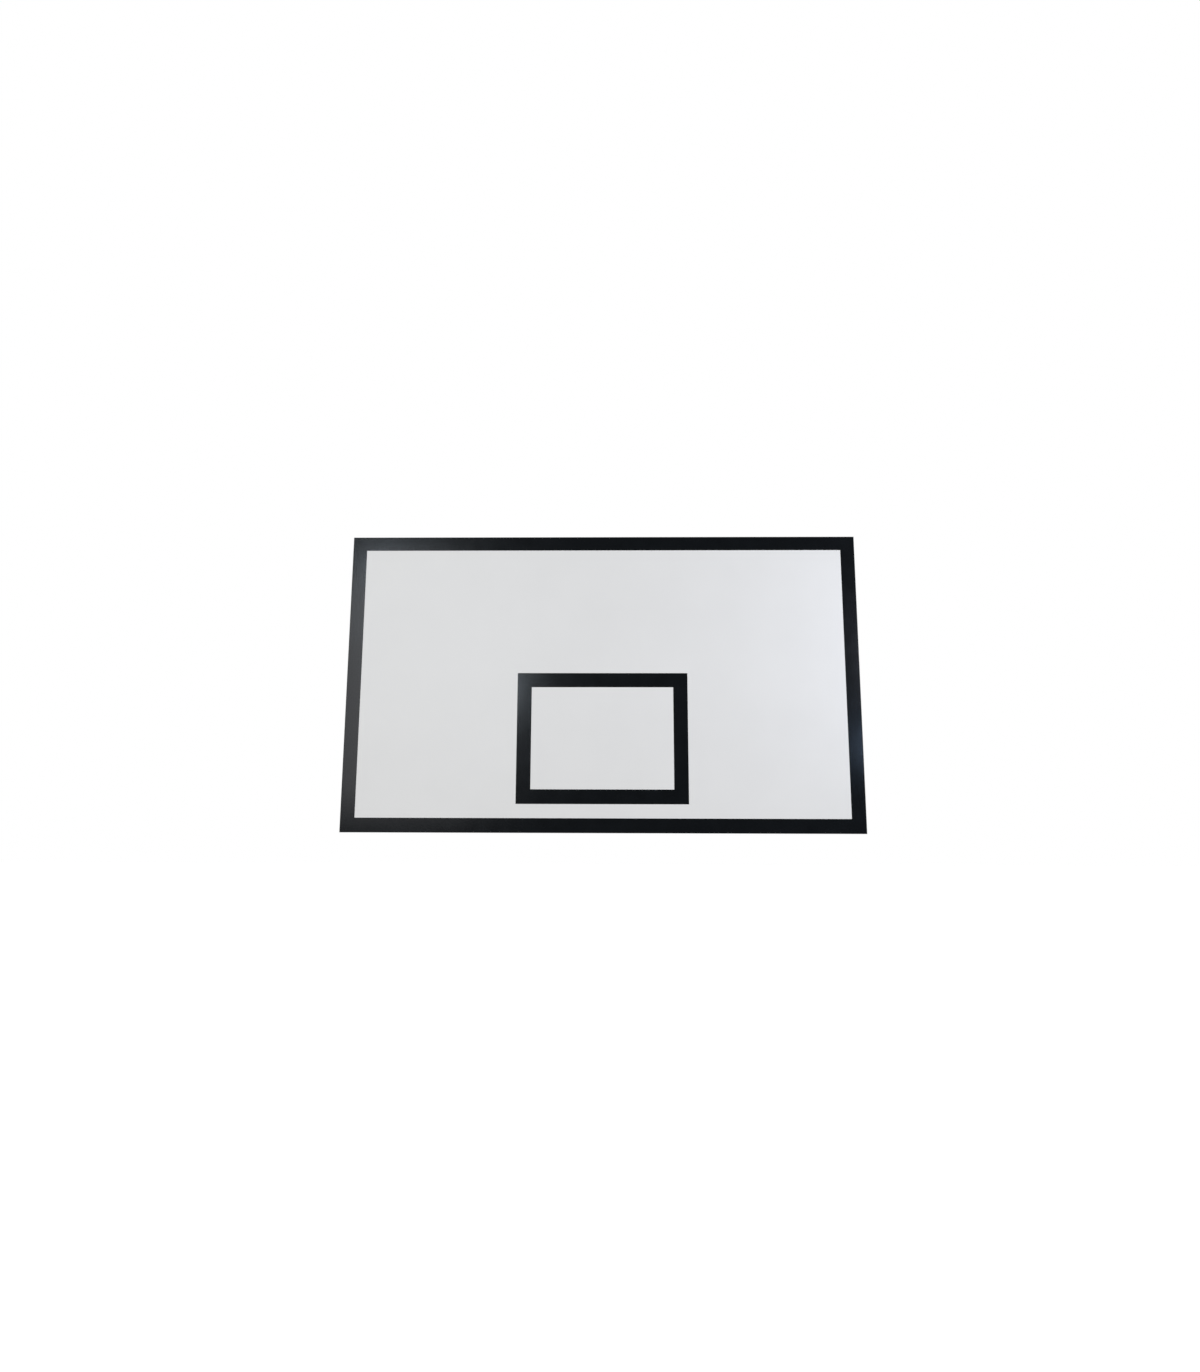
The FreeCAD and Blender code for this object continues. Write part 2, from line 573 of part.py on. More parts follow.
def mount_ribs():
    """Two ribs in front of each mount plate, standing on the side of the upright."""
    tip_x, tip_y = UPRIGHT_OUTER + RIB_REACH, Y_FRAME_FRONT + RIB_PANEL_GAP
    corners = [(UPRIGHT_OUTER, Y_FRAME_REAR), (tip_x, Y_FRAME_REAR), (tip_x, Y_FRAME_REAR - RIB_TIP)]
    corners += [(UPRIGHT_OUTER + RIB_TIP, tip_y), (UPRIGHT_OUTER, tip_y)]
    edge = MOUNT_PLATE_HEIGHT / 2 - RIB_EDGE_INSET
    ribs = []
    for sign_x in (-1, 1):
        for sign_z in (-1, 1):
            for low in (-edge, edge - RIB_THICKNESS):
                z = sign_z * MOUNT_Z + low
                points = [Vector(sign_x * x, y, z) for x, y in corners]
                face = Part.Face(Part.makePolygon(points + points[:1]))
                ribs.append(face.extrude(ALONG_Z * RIB_THICKNESS))
    return Part.makeCompound(ribs)


def pieces():
    """Every piece of the backboard, by node name."""
    made = {
        "panel_core": panel_core(),
        "face_laminate": face_laminate(),
        "back_laminate": back_laminate(),
        "border_line": border_line(),
        "target_line": target_line(),
        "ring_bushes": ring_bushes(),
        "ring_hole_caps": ring_hole_caps(),
        "ring_beam": ring_beam(),
        "top_rail": top_rail(),
        "corner_gussets": corner_gussets(),
        "fixing_tabs": fixing_tabs(),
        "panel_inserts": panel_inserts(),
        "panel_washers": panel_washers(),
        "panel_bolts": panel_bolts(),
        "mount_ribs": mount_ribs(),
        "upright_plugs": upright_plugs(),
        **edge_bands(),
        **mid_rails(),
        **mount_plates(),
    }
    for side, sign in SIDES.items():
        made[f"stile_{side}"] = stile(sign)
        made[f"bottom_rail_{side}"] = bottom_rail(sign)
        made[f"upright_{side}"] = upright(sign)
    return made


def main():
    """Writes one STEP file for each piece."""
    os.makedirs("parts", exist_ok=True)
    for name, shape in pieces().items():
        shape.exportStep(os.path.join("parts", f"{name}.step"))
        print(f"{name}: {len(shape.Solids)} solids, {shape.Volume:.0f} mm3, valid {shape.isValid()}")


main()
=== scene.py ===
"""Basketball backboard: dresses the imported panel, frame and fasteners and lays the weld beads of the frame.

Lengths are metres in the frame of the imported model: X runs along the board, Z is up and the face looks
along -Y.
"""

import logging
import math
from collections.abc import Callable
from dataclasses import dataclass, field
from enum import Enum

import bmesh
import bpy
from mathutils import Euler, Matrix, Vector


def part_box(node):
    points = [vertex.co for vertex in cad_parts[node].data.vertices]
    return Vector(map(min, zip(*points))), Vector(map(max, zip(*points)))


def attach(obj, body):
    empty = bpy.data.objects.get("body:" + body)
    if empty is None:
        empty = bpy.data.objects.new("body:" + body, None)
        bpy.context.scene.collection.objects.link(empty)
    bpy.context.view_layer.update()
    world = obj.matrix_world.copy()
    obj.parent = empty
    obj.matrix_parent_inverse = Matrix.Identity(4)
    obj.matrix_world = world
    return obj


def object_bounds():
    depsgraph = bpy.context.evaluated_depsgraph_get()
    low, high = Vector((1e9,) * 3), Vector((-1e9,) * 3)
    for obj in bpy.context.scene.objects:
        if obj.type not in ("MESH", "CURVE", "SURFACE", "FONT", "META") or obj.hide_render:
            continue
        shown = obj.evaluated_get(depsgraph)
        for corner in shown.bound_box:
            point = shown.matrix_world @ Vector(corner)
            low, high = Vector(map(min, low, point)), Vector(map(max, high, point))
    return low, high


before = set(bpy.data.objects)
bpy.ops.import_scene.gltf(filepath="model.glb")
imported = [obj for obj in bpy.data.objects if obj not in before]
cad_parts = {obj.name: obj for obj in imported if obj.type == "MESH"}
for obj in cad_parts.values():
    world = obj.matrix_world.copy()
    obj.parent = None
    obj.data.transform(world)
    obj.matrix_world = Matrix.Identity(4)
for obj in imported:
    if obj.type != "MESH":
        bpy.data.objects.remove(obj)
CAD_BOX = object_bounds()

LOG = logging.getLogger("backboard")
BODY = "root"
MM = 0.001
SIGNS = (-1, 1)
CORNERS = tuple((way_x, way_z) for way_x in SIGNS for way_z in SIGNS)
X_AXIS = Vector((1, 0, 0))
Y_AXIS = Vector((0, 1, 0))
Z_AXIS = Vector((0, 0, 1))
WHITE = (1.0, 1.0, 1.0, 1.0)

# Socket numbers of a Mix node that mixes colours
MIX_FACTOR, MIX_FIRST, MIX_SECOND, MIX_RESULT = 0, 6, 7, 2
# How many finer layers a noise pattern has
ONE_LAYER, TWO_LAYERS, THREE_LAYERS, FOUR_LAYERS = 1.0, 2.0, 3.0, 4.0
# The scale of a noise pattern whose coordinates a Mapping node has already scaled
AS_MAPPED = 1.0
# The curve of sRGB values: a straight foot up to the knee, then a power
SRGB_KNEE, SRGB_FOOT, SRGB_OFFSET, SRGB_POWER = 0.04045, 12.92, 0.055, 2.4
BYTE_MOST = 255

Sockets = dict[str, bpy.types.NodeSocket]


def linear(hex_code: str) -> tuple[float, float, float, float]:
    """Turns an sRGB hex colour into linear values.

    Args:
        hex_code: Six hex digits, two for each of red, green and blue.

    Returns:
        Red, green, blue and an alpha of one, as a shader takes them.
    """
    values = []
    for byte in bytes.fromhex(hex_code):
        part = byte / BYTE_MOST
        curved = ((part + SRGB_OFFSET) / (1 + SRGB_OFFSET)) ** SRGB_POWER
        values.append(part / SRGB_FOOT if part <= SRGB_KNEE else curved)
    return (*values, 1.0)


def blank_tree(owner: bpy.types.Material | bpy.types.World) -> bpy.types.NodeTree:
    """Turns a material's or a world's nodes on and clears them.

    Args:
        owner: The material or the world.

    Returns:
        Its empty node tree.
    """
    owner.use_nodes = True
    owner.node_tree.nodes.clear()
    return owner.node_tree


def add_node(
    tree: bpy.types.NodeTree,
    kind: str,
    links: dict[str | int, bpy.types.NodeSocket] | None = None,
    values: dict[str | int, object] | None = None,
    **settings: object,
) -> bpy.types.Node:
    """Adds one node with its settings and links.

    Args:
        tree: The node tree that gets the node.
        kind: The node's type without its leading "ShaderNode".
        links: Output sockets to join to the node's inputs, by input name or number.
        values: Constant values of inputs, by input name or number.
        settings: Properties of the node itself.

    Returns:
        The new node.
    """
    node = tree.nodes.new("ShaderNode" + kind)
    for name, value in settings.items():
        setattr(node, name, value)
    for name, value in (values or {}).items():
        node.inputs[name].default_value = value
    for name, socket in (links or {}).items():
        tree.links.new(socket, node.inputs[name])
    return node


def deselect_all() -> None:
    """Leaves edit mode and deselects every object."""
    if bpy.context.object and bpy.context.object.mode != "OBJECT":
        bpy.ops.object.mode_set(mode="OBJECT")
    bpy.ops.object.select_all(action="DESELECT")


def select_points(mesh_object: bpy.types.Object, test: Callable[[Vector], bool]) -> None:
    """Selects points of a mesh in edit mode by their place.

    Args:
        mesh_object: The object that is being edited.
        test: Says of a point's place whether the point is selected.
    """
    mesh = bmesh.from_edit_mesh(mesh_object.data)
    for point in mesh.verts:
        point.select_set(test(point.co))
    mesh.select_flush_mode()
    bmesh.update_edit_mesh(mesh_object.data)


def facing(place: Vector, aim: Vector, turn: float) -> Euler:
    """Turns a lamp or a camera to a point.

    Args:
        place: Where the lamp or the camera stands.
        aim: The point that it faces.
        turn: How far it is then turned about its own axis, anticlockwise as seen from behind it.

    Returns:
        Its rotation.
    """
    straight = (aim - place).to_track_quat("-Z", "Y").to_matrix()
    return (straight @ Matrix.Rotation(turn, 3, "Z")).to_euler()


class Run(Enum):
    """The way in which a strip runs on the board."""

    LEVEL = "level"
    UPRIGHT = "upright"


@dataclass(frozen=True)
class Finish:
    """What every finish has: a name, a colour and a gloss. Each kind adds its pattern."""

    name: str
    colour: str
    roughness: float
    metallic: float = 0.0
    ior: float | None = None

    def pattern(self, tree: bpy.types.NodeTree, place: bpy.types.NodeSocket) -> Sockets:
        """Adds the pattern's nodes.

        Args:
            tree: The material's node tree.
            place: The object coordinates.

        Returns:
            The sockets that drive the shader, by the name of the shader's input.
        """
        raise NotImplementedError

    def material(self) -> bpy.types.Material:
        """Builds the finish.

        Returns:
            The new material.
        """
        made = bpy.data.materials.new(self.name)
        tree = blank_tree(made)
        place = add_node(tree, "TexCoord").outputs["Object"]
        values = {"Base Color": linear(self.colour), "Roughness": self.roughness, "Metallic": self.metallic}
        if self.ior is not None:
            values["IOR"] = self.ior
        shader = add_node(tree, "BsdfPrincipled", self.pattern(tree, place), values)
        add_node(tree, "OutputMaterial", {"Surface": shader.outputs[0]})
        return made


@dataclass(frozen=True)
class PressedLaminate(Finish):
    """Melamine laminate off a textured plate: an even pale sheet with a fine pearl and a satin gloss."""

    shade: str = "DFDEDC"
    cloud: float = 180 * MM
    gloss_swing: float = 0.03
    # The press pearl is about 0.4 mm on the real sheet, too fine to show, so it is drawn coarser
    pearl: float = 2.4 * MM
    pearl_depth: float = 0.02 * MM

    def pattern(self, tree: bpy.types.NodeTree, place: bpy.types.NodeSocket) -> Sockets:
        """Adds faint clouds of colour and gloss and the pearl of the press plate.

        Args:
            tree: The material's node tree.
            place: The object coordinates.

        Returns:
            The sockets that drive the shader, by the name of the shader's input.
        """
        where = {"Vector": place}
        cloud = add_node(tree, "TexNoise", where, {"Scale": 1 / self.cloud, "Detail": TWO_LAYERS})
        shades = {MIX_FIRST: linear(self.shade), MIX_SECOND: linear(self.colour)}
        tint = add_node(tree, "Mix", {MIX_FACTOR: cloud.outputs[0]}, shades, data_type="RGBA")
        swing = {"To Min": self.roughness - self.gloss_swing, "To Max": self.roughness + self.gloss_swing}
        gloss = add_node(tree, "MapRange", {"Value": cloud.outputs[0]}, swing)
        pearl = add_node(tree, "TexNoise", where, {"Scale": 1 / self.pearl, "Detail": ONE_LAYER})
        relief = add_node(tree, "Bump", {"Height": pearl.outputs[0]}, {"Distance": self.pearl_depth})
        return {
            "Base Color": tint.outputs[MIX_RESULT],
            "Roughness": gloss.outputs[0],
            "Normal": relief.outputs[0],
        }


@dataclass(frozen=True)
class CastFilm(Finish):
    """Cast vinyl film rolled onto the face: deep black with a satin gloss and a faint orange peel."""

    worn: str = "14171A"
    scuff: float = 60 * MM
    gloss_swing: float = 0.03
    # The peel of the film is under 1 mm and is drawn coarser so that it shows
    peel: float = 4 * MM
    peel_depth: float = 0.02 * MM

    def pattern(self, tree: bpy.types.NodeTree, place: bpy.types.NodeSocket) -> Sockets:
        """Adds rubbed patches, which are greyer and duller, and the orange peel.

        Args:
            tree: The material's node tree.
            place: The object coordinates.

        Returns:
            The sockets that drive the shader, by the name of the shader's input.
        """
        where = {"Vector": place}
        scuff = add_node(tree, "TexNoise", where, {"Scale": 1 / self.scuff, "Detail": FOUR_LAYERS})
        shades = {MIX_FIRST: linear(self.colour), MIX_SECOND: linear(self.worn)}
        tint = add_node(tree, "Mix", {MIX_FACTOR: scuff.outputs[0]}, shades, data_type="RGBA")
        swing = {"To Min": self.roughness - self.gloss_swing, "To Max": self.roughness + self.gloss_swing}
        gloss = add_node(tree, "MapRange", {"Value": scuff.outputs[0]}, swing)
        peel = add_node(tree, "TexNoise", where, {"Scale": 1 / self.peel, "Detail": ONE_LAYER})
        relief = add_node(tree, "Bump", {"Height": peel.outputs[0]}, {"Distance": self.peel_depth})
        return {
            "Base Color": tint.outputs[MIX_RESULT],
            "Roughness": gloss.outputs[0],
            "Normal": relief.outputs[0],
        }


@dataclass(frozen=True)
class ExtrudedBand(Finish):
    """Extruded ABS edge strip: black, less glossy than the film, with faint draw lines along its length."""

    run: Run = Run.LEVEL
    pale: str = "181B1D"
    # Draw lines are about 0.2 mm apart and are drawn wider so that they show
    line: float = 1.5 * MM
    stretch: float = 400 * MM
    line_depth: float = 0.03 * MM

    def pattern(self, tree: bpy.types.NodeTree, place: bpy.types.NodeSocket) -> Sockets:
        """Adds draw lines that follow the strip.

        Args:
            tree: The material's node tree.
            place: The object coordinates.

        Returns:
            The sockets that drive the shader, by the name of the shader's input.
        """
        fine, long = 1 / self.line, 1 / self.stretch
        scale = (long, fine, fine) if self.run is Run.LEVEL else (fine, fine, long)
        drawn = add_node(tree, "Mapping", {"Vector": place}, {"Scale": scale})
        layers = {"Scale": AS_MAPPED, "Detail": THREE_LAYERS}
        lines = add_node(tree, "TexNoise", {"Vector": drawn.outputs[0]}, layers)
        shades = {MIX_FIRST: linear(self.colour), MIX_SECOND: linear(self.pale)}
        tint = add_node(tree, "Mix", {MIX_FACTOR: lines.outputs[0]}, shades, data_type="RGBA")
        relief = add_node(tree, "Bump", {"Height": lines.outputs[0]}, {"Distance": self.line_depth})
        return {"Base Color": tint.outputs[MIX_RESULT], "Normal": relief.outputs[0]}


@dataclass(frozen=True)
class HotDipZinc(Finish):
    """Hot-dip galvanised steel: grey crystals of zinc that each catch the light in their own way."""

    dark: str = "868C90"
    spangle: float = 13 * MM
    warp: float = 6 * MM
    warp_reach: float = 5 * MM
    tilt: float = 0.10
    # A crystal's random colour is taken about this middle, so that crystals lean to all sides
    colour_middle: float = 0.5
    gloss_swing: float = 0.10
    run_size: float = 90 * MM
    # The grit of the zinc is about 0.3 mm and is drawn coarser so that it shows
    grit: float = 1.6 * MM
    grit_depth: float = 0.03 * MM

    def pattern(self, tree: bpy.types.NodeTree, place: bpy.types.NodeSocket) -> Sockets:
        """Adds the crystals, each with its own shade, gloss and tilt, and the grit and runs of the bath.

        Args:
            tree: The material's node tree.
            place: The object coordinates.

        Returns:
            The sockets that drive the shader, by the name of the shader's input.
        """
        where = {"Vector": place}
        warp = add_node(tree, "TexNoise", where, {"Scale": 1 / self.warp, "Detail": TWO_LAYERS})
        reach = {1: (self.warp_reach,) * 3}
        bent = add_node(
            tree, "VectorMath", {0: warp.outputs["Color"], 2: place}, reach, operation="MULTIPLY_ADD"
        )
        flower = add_node(tree, "TexVoronoi", {"Vector": bent.outputs[0]}, {"Scale": 1 / self.spangle})
        parts = add_node(tree, "SeparateColor", {0: flower.outputs["Color"]})
        runs = add_node(tree, "TexNoise", where, {"Scale": 1 / self.run_size, "Detail": THREE_LAYERS})
        blend = add_node(tree, "Math", {0: parts.outputs[0], 1: runs.outputs[0]}, operation="MULTIPLY")
        share = add_node(tree, "Math", {0: blend.outputs[0], 1: runs.outputs[0]}, operation="ADD")
        shades = {MIX_FIRST: linear(self.dark), MIX_SECOND: linear(self.colour)}
        tint = add_node(tree, "Mix", {MIX_FACTOR: share.outputs[0]}, shades, data_type="RGBA")
        swing = {"To Min": self.roughness - self.gloss_swing, "To Max": self.roughness + self.gloss_swing}
        gloss = add_node(tree, "MapRange", {"Value": parts.outputs[1]}, swing)
        grit = add_node(tree, "TexNoise", where, {"Scale": 1 / self.grit, "Detail": TWO_LAYERS})
        relief = add_node(tree, "Bump", {"Height": grit.outputs[0]}, {"Distance": self.grit_depth})
        half = {1: (self.colour_middle,) * 3}
        middle = add_node(tree, "VectorMath", {0: flower.outputs["Color"]}, half, operation="SUBTRACT")
        lean = {1: (self.tilt,) * 3}
        facet = add_node(
            tree, "VectorMath", {0: middle.outputs[0], 2: relief.outputs[0]}, lean, operation="MULTIPLY_ADD"
        )
        normal = add_node(tree, "VectorMath", {0: facet.outputs[0]}, operation="NORMALIZE")
        return {
            "Base Color": tint.outputs[MIX_RESULT],
            "Roughness": gloss.outputs[0],
            "Normal": normal.outputs[0],
        }


@dataclass(frozen=True)
class PlatedZinc(Finish):
    """Electroplated and passivated steel: bright, thin and even, with a trace of straw colour."""

    straw: str = "AAA694"
    cloud: float = 7 * MM
    gloss_swing: float = 0.06
    # The rolled grain is about 0.1 mm and is drawn coarser so that it shows
    grain: float = 0.8 * MM
    grain_depth: float = 0.01 * MM

    def pattern(self, tree: bpy.types.NodeTree, place: bpy.types.NodeSocket) -> Sockets:
        """Adds the straw-coloured clouds of the passivation and the grain of the rolled blank.

        Args:
            tree: The material's node tree.
            place: The object coordinates.

        Returns:
            The sockets that drive the shader, by the name of the shader's input.
        """
        where = {"Vector": place}
        cloud = add_node(tree, "TexNoise", where, {"Scale": 1 / self.cloud, "Detail": TWO_LAYERS})
        shades = {MIX_FIRST: linear(self.straw), MIX_SECOND: linear(self.colour)}
        tint = add_node(tree, "Mix", {MIX_FACTOR: cloud.outputs[0]}, shades, data_type="RGBA")
        swing = {"To Min": self.roughness - self.gloss_swing, "To Max": self.roughness + self.gloss_swing}
        gloss = add_node(tree, "MapRange", {"Value": cloud.outputs[0]}, swing)
        grain = add_node(tree, "TexNoise", where, {"Scale": 1 / self.grain, "Detail": TWO_LAYERS})
        relief = add_node(tree, "Bump", {"Height": grain.outputs[0]}, {"Distance": self.grain_depth})
        return {
            "Base Color": tint.outputs[MIX_RESULT],
            "Roughness": gloss.outputs[0],
            "Normal": relief.outputs[0],
        }


@dataclass(frozen=True)
class TurnedSteel(Finish):
    """Lathe-turned steel: fine tool rings around the axis of the bush."""

    oiled: str = "7C7F82"
    # The tool's feed is about 0.15 mm a turn and is drawn coarser so that it shows
    ring: float = 0.5 * MM
    around: float = 40 * MM
    ring_depth: float = 0.02 * MM

    def pattern(self, tree: bpy.types.NodeTree, place: bpy.types.NodeSocket) -> Sockets:
        """Adds tool rings that change along the bush and hardly around it.

        Args:
            tree: The material's node tree.
            place: The object coordinates.

        Returns:
            The sockets that drive the shader, by the name of the shader's input.
        """
        scale = (1 / self.around, 1 / self.ring, 1 / self.around)
        turned = add_node(tree, "Mapping", {"Vector": place}, {"Scale": scale})
        layers = {"Scale": AS_MAPPED, "Detail": TWO_LAYERS}
        rings = add_node(tree, "TexNoise", {"Vector": turned.outputs[0]}, layers)
        shades = {MIX_FIRST: linear(self.oiled), MIX_SECOND: linear(self.colour)}
        tint = add_node(tree, "Mix", {MIX_FACTOR: rings.outputs[0]}, shades, data_type="RGBA")
        relief = add_node(tree, "Bump", {"Height": rings.outputs[0]}, {"Distance": self.ring_depth})
        return {"Base Color": tint.outputs[MIX_RESULT], "Normal": relief.outputs[0]}


@dataclass(frozen=True)
class MouldedPlastic(Finish):
    """Moulded polyethylene: black with a waxy gloss and the spark-eroded grain of the mould."""

    bloom: str = "2A2C2E"
    patch: float = 12 * MM
    # The grain of the mould is about 0.2 mm and is drawn coarser so that it shows
    grain: float = 0.9 * MM
    grain_depth: float = 0.06 * MM

    def pattern(self, tree: bpy.types.NodeTree, place: bpy.types.NodeSocket) -> Sockets:
        """Adds the grain of the mould and a faint grey bloom.

        Args:
            tree: The material's node tree.
            place: The object coordinates.

        Returns:
            The sockets that drive the shader, by the name of the shader's input.
        """
        where = {"Vector": place}
        patch = add_node(tree, "TexNoise", where, {"Scale": 1 / self.patch, "Detail": TWO_LAYERS})
        shades = {MIX_FIRST: linear(self.colour), MIX_SECOND: linear(self.bloom)}
        tint = add_node(tree, "Mix", {MIX_FACTOR: patch.outputs[0]}, shades, data_type="RGBA")
        grain = add_node(tree, "TexNoise", where, {"Scale": 1 / self.grain, "Detail": TWO_LAYERS})
        relief = add_node(tree, "Bump", {"Height": grain.outputs[0]}, {"Distance": self.grain_depth})
        return {"Base Color": tint.outputs[MIX_RESULT], "Normal": relief.outputs[0]}


@dataclass(frozen=True)
class Plywood(Finish):
    """Waterproof birch plywood: pale veneers and dark glue lines on its edges, long grain on its faces."""

    glue: str = "5E4026"
    late: str = "B58C5C"
    veneer: float = 1.54 * MM
    glue_share: float = 0.86
    grain: float = 3 * MM
    stretch: float = 120 * MM

    def pattern(self, tree: bpy.types.NodeTree, place: bpy.types.NodeSocket) -> Sockets:
        """Adds the grain along the board and the glue lines through its thickness.

        Args:
            tree: The material's node tree.
            place: The object coordinates.

        Returns:
            The sockets that drive the shader, by the name of the shader's input.
        """
        scale = (1 / self.stretch, 1 / self.grain, 1 / self.grain)
        drawn = add_node(tree, "Mapping", {"Vector": place}, {"Scale": scale})
        layers = {"Scale": AS_MAPPED, "Detail": FOUR_LAYERS}
        grain = add_node(tree, "TexNoise", {"Vector": drawn.outputs[0]}, layers)
        shades = {MIX_FIRST: linear(self.late), MIX_SECOND: linear(self.colour)}
        wood = add_node(tree, "Mix", {MIX_FACTOR: grain.outputs[0]}, shades, data_type="RGBA")
        across = add_node(tree, "SeparateXYZ", {0: place})
        period = {1: self.veneer}
        layer = add_node(tree, "Math", {0: across.outputs["Y"]}, period, operation="FLOORED_MODULO")
        wooden = {1: self.veneer * self.glue_share}
        glued = add_node(tree, "Math", {0: layer.outputs[0]}, wooden, operation="GREATER_THAN")
        tint = add_node(
            tree,
            "Mix",
            {MIX_FACTOR: glued.outputs[0], MIX_FIRST: wood.outputs[MIX_RESULT]},
            {MIX_SECOND: linear(self.glue)},
            data_type="RGBA",
        )
        return {"Base Color": tint.outputs[MIX_RESULT]}


def dress(nodes: tuple[str, ...], finish: Finish) -> None:
    """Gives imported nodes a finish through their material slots.

    Args:
        nodes: Names of the nodes.
        finish: The finish that they share.
    """
    material = finish.material()
    for name in nodes:
        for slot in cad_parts[name].material_slots:
            slot.material = material
        LOG.info("dressed %s with %s", name, finish.name)


@dataclass
class Panel:
    """The board itself: laminated plywood with edge strips, lines of film and bushes for the ring."""

    # Melamine off a satin press plate: an even white whose highlights are wide and soft
    face: Finish = PressedLaminate("melamine_laminate_white", "E4E3E1", 0.45, ior=1.5)
    # Balancing sheet off a matt plate: a warmer white that shows hardly any highlight
    back: Finish = PressedLaminate("balancing_laminate_white", "E4E4E1", 0.52, ior=1.5, shade="DCDCD8")
    # Cast vinyl: a deep black that mirrors bright things as a soft grey sheen
    film: Finish = CastFilm("cast_vinyl_film_black", "0E1012", 0.18, ior=1.5)
    # Extruded ABS: a greyer, duller black with faint lines along the edge
    level_band: Finish = ExtrudedBand("abs_edge_strip_level", "0F1113", 0.40, ior=1.53)
    upright_band: Finish = ExtrudedBand("abs_edge_strip_upright", "0F1113", 0.40, ior=1.53, run=Run.UPRIGHT)
    # Birch plywood: pale wood with dark glue lines, seen in the bores alone
    core: Finish = Plywood("birch_plywood", "D9B98A", 0.62, ior=1.5)
    # Turned steel: bright rings deep in the ring's bolt holes
    bush: Finish = TurnedSteel("turned_steel", "A9ACAE", 0.32, metallic=1.0)
    # Moulded polyethylene, as black and as glossy as the film so that the caps don't stand out on it
    cap: Finish = MouldedPlastic("polyethylene_cap_black", "0E1012", 0.19, ior=1.5, bloom="14171A")

    def build(self) -> None:
        """Dresses every piece of the board."""
        dress(("face_laminate",), self.face)
        dress(("back_laminate",), self.back)
        dress(("border_line", "target_line"), self.film)
        dress(("edge_band_top", "edge_band_bottom"), self.level_band)
        dress(("edge_band_left", "edge_band_right"), self.upright_band)
        dress(("panel_core",), self.core)
        dress(("ring_bushes",), self.bush)
        dress(("ring_hole_caps",), self.cap)


class Joint(Enum):
    """How two pieces of steel meet, which gives the section of the weld bead."""

    FILLET = "fillet"
    BUTT = "butt"


@dataclass(frozen=True)
class Seam:
    """A weld seam: its middle, the run along it, and the normals of the faces that the bead lies on."""

    joint: Joint
    middle: Vector
    run: Vector
    faces: tuple[Vector, ...]

    def place(self, sink: float) -> Matrix:
        """Gives the placing of a bead that was modelled about the origin.

        Args:
            sink: How deep the bead sits in the faces.

        Returns:
            The matrix that takes the bead to its seam.
        """
        along = self.run.normalized()
        first = self.faces[0] if self.joint is Joint.FILLET else self.faces[0].cross(along)
        second = self.faces[-1]
        if along.dot(first.cross(second)) < 0:
            first, second = second, first
        turn = Matrix((along, first, second)).transposed().to_4x4()
        base = self.middle - sum(self.faces, Vector()) * sink
        return Matrix.Translation(base) @ turn


